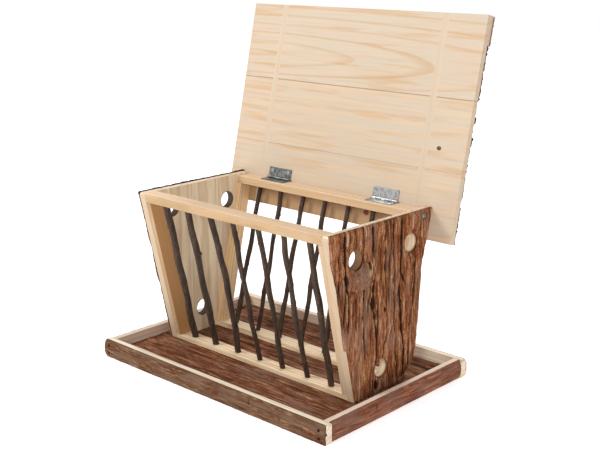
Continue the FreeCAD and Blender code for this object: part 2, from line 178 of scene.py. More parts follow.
# %% [markdown]
# The manger stands on a white studio sweep. The backdrop looks white, but gives only a dim even light,
# so that the lamps can model the shapes. A soft lamp from the front left lights the lid and the frames,
# a weaker one from the front right rakes over the bark of the right panel, and a third one lights the
# back. The Standard view keeps the whites white.

# %% Light
bpy.context.scene.view_settings.view_transform = "Standard"
EVEN_LIGHT = (0.52, 0.52, 0.52, 1)
WHITE = (1, 1, 1, 1)
lamp_aim = (0, 0, 0.15)

backdrop = bpy.data.worlds.new("backdrop")
backdrop.use_nodes = True
backdrop.node_tree.nodes.clear()
wire = Wire(backdrop.node_tree)
seen = wire.node("LightPath", {}, {}, "Is Camera Ray")
plugs = {"Color": seen.mixed(EVEN_LIGHT, WHITE), "Strength": 1.0}
wire.node("OutputWorld", {}, {0: wire.node("Background", {}, plugs)})
bpy.context.scene.world = backdrop


def soft_lamp(name, power, size, place):
    """A square lamp that looks at the middle of the rack."""
    aside, back, above = [spot - aim for spot, aim in zip(place, lamp_aim)]
    lamp = bpy.data.objects.new(name, bpy.data.lights.new(name, "AREA"))
    lamp.data.energy = power
    lamp.data.size = size
    lamp.location = place
    lamp.rotation_euler = (math.atan2(math.hypot(aside, back), above), 0, math.atan2(aside, -back))
    bpy.context.scene.collection.objects.link(lamp)
    print(name, "of", power, "W at", place)


soft_lamp("key_lamp", 38.0, 0.8, (-1.6, -2.0, 1.9))
soft_lamp("raking_lamp", 25.0, 0.6, (1.4, -2.8, 1.4))
soft_lamp("back_lamp", 40.0, 0.8, (-1.2, 2.6, 1.8))

# %% [markdown]
# Every finish starts the same way: an empty graph, the place of the shaded point in millimetres, and
# clouds of noise stretched along the grain. It ends with a surface that joins colour, roughness and
# bump. Wood, bark, twigs and steel share these steps. The last helper lays a finish on a CAD piece.


# %% Shared shader steps
def new_finish(name):
    """An empty material and a wire into its graph."""
    material = bpy.data.materials.new(name)
    material.use_nodes = True
    material.node_tree.nodes.clear()
    return material, Wire(material.node_tree)


def places_along(wire, *ways):
    """How far the shaded point lies along each of these directions, in millimetres."""
    spot = wire.node("TexCoord", {}, {}, "Object")
    reaches = [[float(part) / MM for part in way] for way in ways]
    return [wire.node("VectorMath", {"operation": "DOT_PRODUCT"}, {0: spot, 1: reach}, "Value")
            for reach in reaches]


def slant(first, second):
    """The straight distance over two distances at right angles."""
    return (first * first + second * second) ** 0.5


def cloud(first, second, third, detail=2.0):
    """Noise between 0 and 1 over three values; divide a value by a length to set the cloud's size."""
    spot = first.node("CombineXYZ", {}, {0: first, 1: second, 2: third})
    plugs = {"Vector": spot, "Scale": 1.0, "Detail": detail, "Roughness": 0.55}
    return first.node("TexNoise", {"noise_dimensions": "3D"}, plugs)


def close_finish(wire, colour, roughness, height, relief, **constants):
    """Join colour, roughness and bump (relief in millimetres) into one surface."""
    plugs = {"Strength": 1.0, "Distance": relief * MM, "Height": height}
    bump = wire.node("Bump", {}, plugs)
    plugs = {"Base Color": colour, "Roughness": roughness, "Normal": bump}
    for name, value in constants.items():
        plugs[name.replace("_", " ")] = value
    surface = wire.node("BsdfPrincipled", {}, plugs)
    wire.node("OutputMaterial", {}, {"Surface": surface})


def dress(node, finish):
    """Give a CAD node this finish and no other."""
    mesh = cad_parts[node].data
    mesh.materials.clear()
    mesh.materials.append(finish)


print("shared shader steps ready")

# %% [markdown]
# Sawn pine shows the tree's yearly rings. A ring is a tube round the pith, so the distance of a point
# from an imagined pith line gives the ring it lies in, and the same sum draws long lines on a face,
# arched flames where the board was cut near the pith, and curved arcs on a sawn end. An image of wood
# would have none of that at the corners. Each year starts pale and ends in a thin darker line, and the
# rings bend round a knot.

# %% Year rings
KNOT_STRETCH = 1.3
KNOT_BEND = 1.5
KNOT_BEND_REACH = 6


def year_rings(run, side, deep, seed, pith=(30, 40), tilt=0.0, ring=8.0, phase=0.0, wobble=12,
               uneven=0.8, knots=()):
    """How far on in its year the wood is at a point, its late line, and where the knots are."""
    sway = (cloud(run / 190 + seed, side / 60, deep / 60) - 0.5) * wobble
    shake = cloud(run / 70 + seed, side / 9, deep / 9) * 2.4 - 1.2
    aside = side - pith[0] + sway
    below = deep - pith[1] + run * tilt + sway * 0.5
    ring_place = slant(aside, below) + shake
    knot_mask = 0.0
    for knot_run, knot_side, size in knots:
        gap = slant((run - knot_run) / KNOT_STRETCH, side - knot_side)
        ring_place = ring_place + (1 - gap.smooth(0, size * KNOT_BEND_REACH)) * size * KNOT_BEND
        knot_mask = (1 - gap.smooth(size * 0.6, size)) + knot_mask

    year = ring_place / ring + phase
    within = year.math("FRACT", year)
    which = year.math("FLOOR", year)
    strength = year.node("TexWhiteNoise", {"noise_dimensions": "1D"}, {"W": which + seed * 17})
    band = within.smooth(0.2, 0.95) * (1 - within.smooth(0.96, 1.0))
    late = within.smooth(0.68, 0.93) * (1 - within.smooth(0.95, 1.0))
    return band, late * (strength * uneven + 1 - uneven), knot_mask


print("year rings ready")

# %% [markdown]
# Planed pine is cream with warm bands, rosy and flaming streaks, dark late lines, fine fibres and now
# and then a knot. One colour ramp over the rings would be simpler, but then every board would look the
# same. Here the colour is built up in layers, each one mixed over the last by a mask, so every board
# gets its own share of each. A board can also have another tint on one edge, a brown seam, a brown
# strip at one end, and a hole with a darker wall. Some of these are painted light: the darker inner
# face of the front left stile is painted shade, the paler tops of the frame's top rails are a painted
# highlight, the brown strip low on the lid behind the rack is painted shade with the warm bounce of the
# wood, and the darker hole walls are painted shade.

# %% Pine
CREAM = (0.70, 0.58, 0.45, 1)
LID_CREAM = (0.62, 0.525, 0.41, 1)
# Painted shade, warmed by the bounce of the wood, for the low strip of the lid behind the rack.
TAIL_SHADE_BROWN = (0.44, 0.255, 0.125, 1)
FLAME = (0.62, 0.39, 0.20, 1)
ROSY = (0.66, 0.49, 0.37, 1)
SEAM_BROWN = (0.26, 0.145, 0.075, 1)
LATE_LINE = (0.52, 0.32, 0.17, 1)
WARM_BAND = (0.74, 0.55, 0.36, 1)
KNOT_BROWN = (0.16, 0.06, 0.027, 1)
# Painted shade for the walls of the holes in the panel boards.
BORE_SHADE_BROWN = (0.045, 0.026, 0.016, 1)
HOLE_RADIUS = 11.0
TAIL_SHADE_STRIP = (-16, -4)
TAIL_SHADE_END = (110, 145)
EDGE_FADE = (-0.7, -0.2)
SEAM_FADE = (0.3, 1.4)
WALL_SHADE_DEPTHS = (2.6, 4.6)


def pine(node, along, across, seed, base=CREAM, warmth=0.5, contrast=0.5, flame=0.3, tail_shade=0.0, seam=0.0,
         edge=None, bore=None, full_wall_shade=0.0, shade_spread=2.6, bore_shade_tone=BORE_SHADE_BROWN, **rings):
    """Pine on one CAD board: grain along a direction, the pith this far off the board's middle."""
    material, wire = new_finish(node + "_pine")
    ways = (along, across, np.cross(along, across))
    places = places_along(wire, *ways)
    run, side, deep = [place - sum(extent(node, way)) / 2 for place, way in zip(places, ways)]
    band, late, knot_mask = year_rings(run, side, deep, seed, **rings)
    fibre = cloud(run / 45 + seed, side * 1.1, deep * 1.1, 3.0)
    thread = cloud(run / 120 + seed, side / 2.2, deep / 2.2, 1.0)
    glow = cloud(run / 80 + seed * 3, side / 16, deep / 40).smooth(0.42, 0.75)
    flush = cloud(run / 110 + seed * 5, side / 9, deep / 30, 3.0).smooth(0.5, 0.72)
    rosy = cloud(run / 110 + seed * 7, side / 20, deep / 40).smooth(0.42, 0.68)

    colour = ((glow * 0.6 + band * 0.5) * warmth).mixed(base, WARM_BAND)
    colour = (rosy * 0.4).mixed(colour, ROSY)
    colour = (flush * flame).mixed(colour, FLAME)
    # Painted shade: the low strip of the board, up to a point along it, turns brown like the rack's
    # shadow with warm bounce light.
    if tail_shade:
        shaded_strip = 1 - side.smooth(*TAIL_SHADE_STRIP)
        colour = (shaded_strip * (1 - run.smooth(*TAIL_SHADE_END)) * tail_shade).mixed(colour, TAIL_SHADE_BROWN)
    if edge:
        way, tint = edge
        short = places_along(wire, way)[0] - extent(node, way)[1]
        colour = short.smooth(*EDGE_FADE).mixed(colour, tint)
    for mask in (late * contrast, thread.smooth(0.5, 0.75) * 0.14, fibre.smooth(0.35, 0.8) * 0.12):
        colour = mask.mixed(colour, LATE_LINE)
    if "knots" in rings:
        colour = knot_mask.mixed(colour, KNOT_BROWN)
    if seam:
        low_edge = places[1] - extent(node, across)[0]
        colour = ((1 - low_edge.smooth(*SEAM_FADE)) * seam).mixed(colour, SEAM_BROWN)
    # The wall of the hole is painted dark, through its whole depth or only near one face, and a little
    # past the hole's edge: painted shade in the hole.
    if bore:
        gap = slant(places[0] - bore[1], places[1] - bore[0])
        wall = 1 - gap.smooth(HOLE_RADIUS + shade_spread, HOLE_RADIUS + shade_spread + 0.6)
        wall_shade = (deep * -1).smooth(*WALL_SHADE_DEPTHS) * (1 - full_wall_shade) + full_wall_shade
        colour = (wall * wall_shade * 0.96).mixed(colour, bore_shade_tone)
    height = late * 0.4 + fibre * 0.6
    close_finish(wire, colour, fibre * 0.2 + 0.5, height, 0.1, Specular_IOR_Level=0.15)
    dress(node, material)


print("pine ready")

# %% [markdown]
# The lid boards face the light and carry the clearest grain. The upper one was cut close to the pith,
# so its rings run out as long flames. They could be painted, but a pith line that sinks along the board
# draws them by itself, and they go on over its edges. A small dark knot sits low on the right of the
# middle board, and another one low on the board at the hinges.

# %% Pine on the lid
pine("lid_front_board", X, UP_LID, 1, pith=(-15.5, -12), tilt=0.092, ring=12.0, phase=0.62, wobble=3,
     uneven=0.3, base=LID_CREAM, warmth=0.35, flame=0.75, seam=0.6)
pine("lid_middle_board", X, UP_LID, 2, pith=(70, -20), ring=14.0, base=LID_CREAM, warmth=0.7,
     contrast=0.16, flame=0.65, knots=((151, -16.5, 3.2),))
# The back board gets the painted shade of the rack along its low edge.
pine("lid_back_board", X, UP_LID, 3, pith=(-60, -24), ring=13.0, base=LID_CREAM, warmth=0.7,
     contrast=0.16, flame=0.6, tail_shade=0.9, knots=((58.5, -24.4, 4.2),))
for seed, side in enumerate(("left", "right"), 5):
    pine("lid_%s_inlay" % side, UP_LID, X, seed, pith=(25, -20), ring=5.0, base=LID_CREAM,
         contrast=0.12, flame=0.1)
print("lid boards and inlays finished")

# %% [markdown]
# The frames are planed strips with straight grain, and each has its own tone, from pale cream to deep
# honey. The side panels show their grain upright on the inside, and the tray rails show it along their
# tops. One round hole goes through each slab of the panels. A single material for all of them would be
# quicker, but real strips come from different trees, so each board gets its own seed and tint, from
# short tables that a loop reads.

# %% Pine on the rack and tray
slab_holes = {
    "right": {"front": (-46.6, 183.6), "middle": (2, 42.1), "back": (53.4, 183.6)},
    "left": {"front": (-46.5, 191.5), "middle": (2, 44.5), "back": (50, 186)},
}
LIGHT_HONEY = (0.97, 0.78, 0.53, 1)
STRAW = (0.53, 0.395, 0.26, 1)
# Painted shade for the inner face of the front left stile.
STILE_SHADE_BROWN = (0.52, 0.27, 0.105, 1)
# Painted highlight for the top faces of the frame's top rails.
LIT_TOP_CREAM = (0.93, 0.70, 0.48, 1)
PANEL_CREAM = (0.98, 0.84, 0.61, 1)
EDGE_TAN = (0.595, 0.455, 0.32, 1)
PALE_CREAM = (0.94, 0.81, 0.65, 1)
RAIL_CREAM = (0.97, 0.84, 0.67, 1)
rail_tints = {"front_top": (0.455, 0.295, 0.145, 1), "front_bottom": LIGHT_HONEY,
              "back_top": (0.62, 0.415, 0.235, 1), "back_bottom": LIGHT_HONEY}
stile_tints = {"front_left": (0.40, 0.25, 0.13, 1), "front_right": STRAW,
               "back_left": (0.94, 0.64, 0.33, 1), "back_right": STRAW}
# How far the painted shade of the hole walls spreads on the left panel, and its tone on the right.
bore_looks = {"left": {"shade_spread": 0.3}, "right": {"bore_shade_tone": (0.29, 0.15, 0.075, 1)}}
tray_rails = (("front", X, 40, RAIL_CREAM), ("back", X, 41, RAIL_CREAM),
              ("left", Y, 44, (0.75, 0.63, 0.53, 1)), ("right", Y, 45, (0.98, 0.79, 0.65, 1)))

# The top face of each top rail is painted paler: a painted highlight where the light falls from above.
for seed, (rail, tint) in enumerate(rail_tints.items(), 10):
    pine("%s_rail" % rail, X, Y, seed, pith=(22, 14), ring=5.0, base=tint, contrast=0.8, flame=0.6,
         edge=(Z, LIT_TOP_CREAM) if "top" in rail else None)
# The front left stile's inner face, which faces into the rack, gets painted shade.
for seed, (stile, tint) in enumerate(stile_tints.items(), 20):
    pine("%s_stile" % stile, UP_FRONT if "front" in stile else UP_LID, X, seed, pith=(24, 18), ring=3.6,
         base=tint, warmth=0.4 if "right" in stile else 0.1, contrast=0.8,
         edge=(X, STILE_SHADE_BROWN) if stile == "front_left" else None)
for number, (hand, look) in enumerate(bore_looks.items()):
    for order, (part, hole) in enumerate(slab_holes[hand].items()):
        pine("%s_panel_%s_board" % (hand, part), Z, Y, 30 + 3 * number + order,
             pith=(12 - 14 * order, 22), ring=7.0, base=PANEL_CREAM, bore=hole,
             full_wall_shade=1.0 if hand == "left" or part == "front" else 0.35,
             edge=(OUT_FRONT, EDGE_TAN) if part == "front" else None, **look)
for part, way, seed, tint in tray_rails:
    pine("tray_%s_rail" % part, way, Z, seed, pith=(30, 20), ring=5.0, base=PALE_CREAM, contrast=0.8,
         flame=0.5, edge=(Z, tint))
for number in range(3):
    pine("floor_board_%d" % (number + 1), X, Y, 50 + number, pith=(10, -30))
print("rack and tray pine finished")

# %% [markdown]
# Bark needs real relief: its ridges catch the light and break the outline of every panel. Sculpting
# it by hand would not follow a change of size, so the ridges come from smooth random noise worked out
# point by point. The function below is a small version of the gradient noise that Blender's own
# texture node uses, written for arrays of points so that it can move mesh corners. Three small curves
# turn values into slides, hills and slits.


# %% Smooth noise for mesh corners
def eased(values):
    """0 below 0, 1 above 1, and an even slide between."""
    values = np.clip(values, 0, 1)
    return values * values * (3 - 2 * values)


def soft_noise(u, v, seed):
    """Smooth random heights over a plane, between about -1 and 1."""
    order = np.random.default_rng(seed).permutation(256)
    u, v = np.broadcast_arrays(np.asarray(u, float), np.asarray(v, float))
    cell_u = np.floor(u).astype(int)
    cell_v = np.floor(v).astype(int)
    part_u = u - cell_u
    part_v = v - cell_v

    def pull(step_u, step_v):
        pick = order[(order[(cell_u + step_u) % 256] + cell_v + step_v) % 256]
        angle = pick * (2 * math.pi / 256)
        return np.cos(angle) * (part_u - step_u) + np.sin(angle) * (part_v - step_v)

    ease_u, ease_v = eased(part_u), eased(part_v)
    low = pull(0, 0) * (1 - ease_u) + pull(1, 0) * ease_u
    high = pull(0, 1) * (1 - ease_u) + pull(1, 1) * ease_u
    return 1.5 * (low * (1 - ease_v) + high * ease_v)


def hill(off, reach, power=2):
    """1 at zero, falling away past this reach; a higher power makes the top flatter."""
    return np.exp(-((off / reach) ** power))


def slit(values, width):
    """1 where the values cross zero, falling evenly to 0 at this width."""
    return 1 - np.clip(np.abs(values) / width, 0, 1)


print("noise ready, for example", float(soft_noise(0.3, 0.7, 1)))

# %% [markdown]
# A sheet of bark is a fine grid laid on the outer face of a board. Furrows run along the grain where
# the noise crosses zero, plates swell between them, and fine fibres streak everything. A Displace
# modifier could lift the grid too, but it gives a height and no more, while these sums also tell how
# furrowed and how streaked each point is, which the colours need. The rim of a sheet is frayed: it
# stands in from the board's edge, or out past it, by an uneven amount.

# %% Bark relief
GROOVE_BED = 1.3


def bark_relief(across, grain, thickness, seed, ridge=15.0, reach=420.0, furrow=2.2, fibre=0.4,
                lump=0.6, cracked=1.0):
    """Height of the bark in millimetres, and how furrowed and how streaked it is, at each point."""
    def noise(width, length, number, place=across):
        return soft_noise(place / width, grain / length, seed + number)

    swayed = across + 1.3 * noise(20, 70, 0)
    plate = noise(ridge, reach, 1, swayed)
    crack = noise(ridge * 0.34, reach * 0.3, 2, swayed)
    open_here = eased(0.5 + 1.3 * noise(15, 60, 6))
    hair = noise(2.4, 42, 10, swayed)
    hairy = eased(0.45 + noise(12, 26, 11))
    flake = noise(5.0, 30, 9, swayed)
    deep = slit(plate, 0.15) ** 1.3 * open_here
    fine = 0.7 * slit(crack, 0.22) * (1 - 0.6 * open_here)
    fibres = 0.6 * slit(hair, 0.16) * hairy
    torn = 0.4 * slit(flake + 0.06, 0.09) * (1 - 0.5 * open_here)
    streak = 0.5 * noise(2.0, 20, 3) + 0.5 * noise(3.8, 40, 4) + 0.4 * noise(1.3, 9, 7)
    streak = np.tanh(1.5 * streak) + 0.4 * noise(8, 60, 8)
    swell = noise(24, 46, 5) + 0.9 * np.tanh(4 * plate) + 0.8 * eased(flake / 0.12)
    cut = np.maximum.reduce((deep, fine, fibres, torn)) * cracked
    height = thickness - furrow * cut + fibre * streak + lump * (swell - 0.4)
    return height, cut, streak


def groove(off, width):
    """A furrow's shape across it: 1 on its bed, 0 past its width."""
    return eased(GROOVE_BED - GROOVE_BED * np.abs(off) / width)


def long_furrows(across, grain, places, depth, seed):
    """Lift and scar of wandering furrows that run along the grain at these places across it."""
    lift = 0 * across
    scar = 0 * across
    for number, place in enumerate(places):
        line = place + 2.5 * soft_noise(grain / 60, place, seed)
        line = line + 0.6 * soft_noise(grain / 9, place, seed + 1)
        width = 1.7 * (1 + 0.7 * soft_noise(grain / 12, place, seed + 2))
        there = eased(0.55 + 1.6 * soft_noise(grain / 75 + number, place, seed + 3))
        inside = groove(across - line, width) * there
        lift = lift - depth * inside
        scar = np.maximum(scar, inside)
    return lift, scar


def frayed(amount, seed, rise=0.0):
    """How far a rim stands in from the board's edge, along that edge, in millimetres."""
    def inset(along):
        rough = 0.6 * soft_noise(along / 9, 0.5, seed) + 0.4 * soft_noise(along / 2.6, 0.5, seed + 1)
        return amount * (0.45 + rough) - rise
    return inset


def frays(amounts, seed):
    """The frayed rims of a sheet: its low and high edge across the grain, its start and its end."""
    return [frayed(amount, seed + number) for number, amount in enumerate(amounts, 5)]


def level(value):
    """A straight edge at one place."""
    return lambda along: value + 0 * along


print("bark relief ready")

# %% [markdown]
# The fray pulls on the rim of the grid and fades inward, so the middle of the sheet stays even. Where a
# hole goes through, the faces inside it are left out, and the corners round the gap move onto the
# hole's circle. A Boolean cut would open the hole as well, but it leaves thin slivers round it that
# shade badly. Edges that only one face uses are the border, where the sheet's wall will stand.

# %% Bark grid and its holes
STEP_GRAIN = 1.5
STEP_ACROSS = 0.75
FRAY_REACH = 4.0


def bark_grid(span, low, high, fray):
    """Places of a sheet's grid at its foot and on top, across and along, and how far the rim is."""
    start, end = span
    rows = np.linspace(0, 1, round((end - start) / STEP_GRAIN) + 1)[:, None]
    along = np.linspace(start, end, 60)
    widest = np.max(high(along) - low(along))
    columns = np.linspace(0, 1, round(widest / STEP_ACROSS) + 1)[None, :]
    grain = start + (end - start) * rows + 0 * columns
    across = low(grain) + (high(grain) - low(grain)) * columns
    gaps = (across - low(grain), high(grain) - across, grain - start, end - grain)
    pulls = [np.exp(-gap / FRAY_REACH) for gap in gaps]
    top_across = across + pulls[0] * fray[0](grain) - pulls[1] * fray[1](grain)
    top_grain = grain + pulls[2] * fray[2](across) - pulls[3] * fray[3](across)
    return (across, grain), (top_across, top_grain), np.minimum.reduce(gaps)


def open_holes(quads, feet, tops, holes):
    """Cut holes in a grid; gives its faces, border edges, rim corners and which of them are in holes."""
    across, grain = feet
    for hole_across, hole_grain, radius in holes:
        away = np.hypot(across[quads].mean(1) - hole_across, grain[quads].mean(1) - hole_grain)
        quads = quads[away > radius]
    edges = np.concatenate([quads[:, (k, (k + 1) % 4)] for k in range(4)])
    code = edges[:, 0] * grain.size + edges[:, 1]
    back = edges[:, 1] * grain.size + edges[:, 0]
    border = edges[~np.isin(code, back)]
    rim_corners = np.unique(border)
    in_hole = np.zeros(grain.size)
    for hole_across, hole_grain, radius in holes:
        off_across = across[rim_corners] - hole_across
        off_grain = grain[rim_corners] - hole_grain
        away = np.hypot(off_across, off_grain)
        near = away < radius + 2 * STEP_GRAIN
        corners = rim_corners[near]
        for place_across, place_grain in (feet, tops):
            place_across[corners] = hole_across + off_across[near] / away[near] * radius
            place_grain[corners] = hole_grain + off_grain[near] / away[near] * radius
        in_hole[corners] = 1
    return quads, border, rim_corners, in_hole


print("bark grid ready")

# %% [markdown]
# A short wall runs from the border down to the board and the underside is filled, so each sheet is a
# closed solid and the seams between boards are real gaps. An open sheet would be lighter, but its edge
# would look like paper. How furrowed, streaked, weathered or bare each corner is goes along as mesh
# attributes, which the bark finish reads later, so that colour and relief agree. The furrow mark also
# darkens the walls in the holes, partly for the bark's dark broken edge and partly as painted shade,
# and the foot of the walls where no inner bark shows, as painted shade in the seams. On some sheets it
# darkens the whole rim wall too. The attribute `core` marks the foot of the wall, where the inner bark
# shows.

# %% Bark sheet
LEAST_BARK = 0.5
BARK_SHARP = 48
# How dark the bark's wall in a hole turns (partly its dark broken edge, partly painted shade), and the
# painted shade at the foot of the walls in the seams.
HOLE_WALL_DARK_AND_SHADE = 0.62
FOOT_SHADE = 0.85
MARKS = ("furrow", "streak", "weather", "bare", "core")


def solid(name, corners, faces, sharp):
    """A closed piece from corners in millimetres; edges bent by more than sharp degrees stay sharp."""
    mesh = bpy.data.meshes.new(name)
    mesh.from_pydata((corners * MM).tolist(), [], faces)
    work = bmesh.new()
    work.from_mesh(mesh)
    open_edges = [edge for edge in work.edges if edge.is_boundary]
    if open_edges:
        bmesh.ops.triangle_fill(work, use_beauty=True, edges=open_edges)
    bmesh.ops.recalc_face_normals(work, faces=work.faces)
    work.to_mesh(mesh)
    work.free()
    mesh.shade_smooth()
    mesh.set_sharp_from_angle(angle=math.radians(sharp))
    piece = bpy.data.objects.new(name, mesh)
    bpy.context.scene.collection.objects.link(piece)
    return piece


def bark_sheet(name, layer, ways, span, low, high, seed, fray, finish, body="manger", holes=(),
               scars=None, cap=None, rim_thin=0.6, rim_round=2.2, rim_dark=0.0, **look):
    """One closed sheet of bark on a board; ways are its grain, across and outward directions."""
    grain_way, across_way, out_way = ways
    face, outer = layer
    feet, tops, rim = bark_grid(span, low, high, fray)
    height, cut, streak = bark_relief(*tops, outer - face, seed, **look)
    big = {"lift": 0.0, "scar": 0.0, "weather": 0.0, "pale": 0.0, "calm": 0.0, "bare": 0.0, "core": 1.0}
    if scars:
        big.update(scars(*tops))
    rough = 1 - big["calm"]
    height = outer - face + (height - outer + face) * rough + big["lift"]
    height = height * (rim_thin + (1 - rim_thin) * np.sqrt(np.clip(rim / rim_round, 0, 1)))
    height = np.clip(height, LEAST_BARK, cap).ravel()
    fields = (np.maximum(cut * rough, big["scar"]), streak * rough + big["pale"], big["weather"],
              big["bare"], big["core"])

    index = np.arange(rim.size).reshape(rim.shape)
    quads = np.stack((index[:-1, :-1], index[:-1, 1:], index[1:, 1:], index[1:, :-1]), -1)
    feet, tops = [[part.ravel() for part in places] for places in (feet, tops)]
    quads, border, rim_corners, in_hole = open_holes(quads.reshape(-1, 4), feet, tops, holes)
    used = np.unique(quads)
    order = np.concatenate((used, rim_corners))
    at_foot = np.arange(order.size) >= used.size
    upper = np.full(rim.size, -1)
    upper[used] = np.arange(used.size)
    lower = np.full(rim.size, -1)
    lower[rim_corners] = used.size + np.arange(rim_corners.size)
    first, second = border.T
    walls = np.stack((upper[second], upper[first], lower[first], lower[second]), -1)
    across, grain = [np.where(at_foot, foot[order], top[order]) for foot, top in zip(feet, tops)]
    above = face + np.where(at_foot, 0, height[order])
    corners = grain[:, None] * grain_way + across[:, None] * across_way + above[:, None] * out_way
    piece = solid(name, corners, np.concatenate((upper[quads], walls)).tolist(), BARK_SHARP)

    marks = {mark: (field + 0 * rim).ravel()[order] for mark, field in zip(MARKS, fields)}
    holed = in_hole[order]
    covered = 1 - marks["core"]
    # Hole walls, the foot of the walls and, on some sheets, the whole rim wall go into the furrow mark:
    # painted shade in the holes and seams, with the bark's dark edge.
    dark_rims_and_shade = (holed * (HOLE_WALL_DARK_AND_SHADE + 0.25 * at_foot), FOOT_SHADE * at_foot * covered,
                rim_dark * np.isin(order, rim_corners) * covered)
    marks["furrow"] = np.maximum.reduce((marks["furrow"],) + dark_rims_and_shade)
    marks["core"] = at_foot * marks["core"] * (1 - holed)
    for mark, values in marks.items():
        attribute = piece.data.attributes.new(mark, "FLOAT", "POINT")
        attribute.data.foreach_set("value", values.astype(np.float32))
    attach(piece, body)
    piece.data.materials.append(finish)
    print(name, "has", len(piece.data.polygons), "faces")
    return piece


print("bark sheet maker ready")

# %% [markdown]
# Old conifer bark is a dull red-brown with grey weathered patches and paler torn fibres on the ridges.
# Its furrows are painted almost black, partly for the dark bark deep in them and partly as painted
# shade. Where it is broken at the rim the fresh orange inner bark shows. A picture of bark could be
# wrapped on, but its furrows would not lie in the furrows of the mesh. Here one ramp turns the tone of
# the fibres into colour, and the marks of the mesh are mixed over it. The tone follows the height of
# the strands, so the low ones come out darker, which is partly painted shade. Each group of boards has
# its own mix of red, tan and grey.

# %% Bark finish
# Near-black for furrows, cracks, pits and gaps: partly the dark bark deep in them, partly painted shade.
FURROW_SHADE_BLACK = (0.015, 0.006, 0.003, 1)
BARK_DARK = (0.11, 0.032, 0.012, 1)
BARK_RED = (0.25, 0.083, 0.030, 1)
BARK_TAN = (0.47, 0.217, 0.104, 1)
BARK_GREY = (0.29, 0.182, 0.135, 1)
INNER_BARK = (0.30, 0.12, 0.05, 1)
BARE_WOOD = (0.55, 0.375, 0.22, 1)
PALE_FIBRE = (0.66, 0.46, 0.33, 1)


def bark(name, grain_way, across_way, red=BARK_RED, tan=BARK_TAN, pale=PALE_FIBRE, grey=BARK_GREY,
         greyness=0.4, core_from=0.85, core=INNER_BARK, harsh=1.0, length=18):
    """Bark with its fibres, of this length, along one direction; harsh sets their contrast."""
    material, wire = new_finish(name)
    run, side, out = places_along(wire, grain_way, across_way, np.cross(grain_way, across_way))
    cut, streak, weather, bare, rim = [wire.node("Attribute", {"attribute_name": mark}, {}, "Fac")
                                       for mark in MARKS]
    fibre = cloud(run / length, side / 1.3, out / 1.3, 4.0)
    speck = cloud(run / 2.5, side / 1.1, out / 1.5, 3.0)
    patch = cloud(run / 55, side / 17, out / 30)
    # The tone follows the same streaks that set the strands' height, so the low strands come out darker:
    # partly streaked bark, partly painted shade.
    tone = (streak * 0.36 + (fibre - 0.5) * 1.1 + (speck - 0.5) * 0.7) * harsh + 0.46
    stops = [(0.12, BARK_DARK), (0.42, red), (0.70, tan), (1.0, pale)]
    colour = wire.node("ValToRGB", {"stops": stops}, {"Fac": tone})
    colour = (patch.smooth(0.48, 0.68) * greyness).mixed(colour, grey)
    colour = weather.mixed(colour, grey)
    colour = (bare.smooth(0.25, 0.8) * (speck * 0.8 + 0.4)).mixed(colour, BARE_WOOD)
    # Furrows and the other marked hollows take the near-black: partly dark bark, partly painted shade.
    colour = (cut.smooth(0.12, 0.9) * 0.96).mixed(colour, FURROW_SHADE_BLACK)
    colour = rim.smooth(core_from, core_from + 0.12).mixed(colour, core)
    height = fibre * 0.6 + speck * 0.4
    close_finish(wire, colour, speck * 0.2 + 0.72, height, 0.9, Specular_IOR_Level=0.08)
    return material


upright_bark = bark("upright_bark", Z, Y)
floor_bark_finish = bark("floor_bark_finish", X, Y, red=(0.175, 0.060, 0.026, 1),
                         tan=(0.38, 0.18, 0.095, 1), harsh=0.8, length=40)
rail_bark_long = bark("rail_bark_long", X, Z, red=(0.112, 0.047, 0.023, 1), tan=(0.215, 0.107, 0.056, 1),
                      pale=(0.34, 0.20, 0.12, 1), grey=(0.18, 0.108, 0.068, 1), greyness=0.45,
                      harsh=1.4, length=9)
rail_bark_short = bark("rail_bark_short", Y, Z, red=(0.20, 0.064, 0.034, 1), tan=(0.38, 0.155, 0.085, 1),
                       greyness=0.3, harsh=0.75)
print("bark finishes ready")

# %% [markdown]
# Noise alone gives bark, but not this bark, so the marks that everyone would notice on the right panel
# are given one by one. First come the long furrows, a few pits, and the bark's dip towards each hole.
# They could be sculpted with a brush, but a short list can be read and changed. A furrow is a list of
# places across the panel from high to low, with their heights, and then its width and depth.

# %% Furrows of the side panels
deep_furrows = (
    ((-66, -66, -65.3, -63.7, -59.3, -59.5), (218, 198, 177, 155, 144, 100), 3.4, 2.6),
    ((-18.6, -17, -17.5), (220, 202, 183), 4.6, 3.2),
    ((-14.3, -16.4, -15.9, -14.5), (157, 143, 127, 114), 5.4, 3.4),
    ((-14.5, -13, -10, -8), (120, 110, 93, 60), 2.0, 1.6),
    ((-8.3, -6.5), (34, 14), 4.0, 2.8),
    ((0.9, 0.2, 3.1, 3.9, 4.6), (214, 198, 183, 161, 138), 2.2, 1.6),
    ((17.4, 19, 21.5, 22.9, 24.3, 28.2, 29.3), (216, 191, 158, 120, 83, 48, 18), 2.4, 1.9),
    ((35.2, 35.2, 35.5, 34.9, 42.9), (217, 196, 177, 154, 135), 3.0, 2.6),
    ((34, 32.7, 36.2, 38.7, 43.8, 41.4), (140, 131, 109, 79, 52, 13), 3.2, 2.6),
    ((57.4, 59.7, 57.8, 52), (164, 141, 125, 76), 1.8, 1.5),
    ((-46, -46), (142, 98), 1.9, 1.3),
    ((-33, -34), (150, 86), 1.7, 1.1),
    ((-78, -75), (205, 130), 1.9, 1.3),
)
pits = ((3.2, 183, 2.0), (2.9, 114, 2.0), (36, 115, 2.2), (-33.7, 114, 1.8))
PIT_DEPTH = 1.8
HOLE_DISH = 2.6
DISH_RIM = 19
DISH_SLOPE = 7


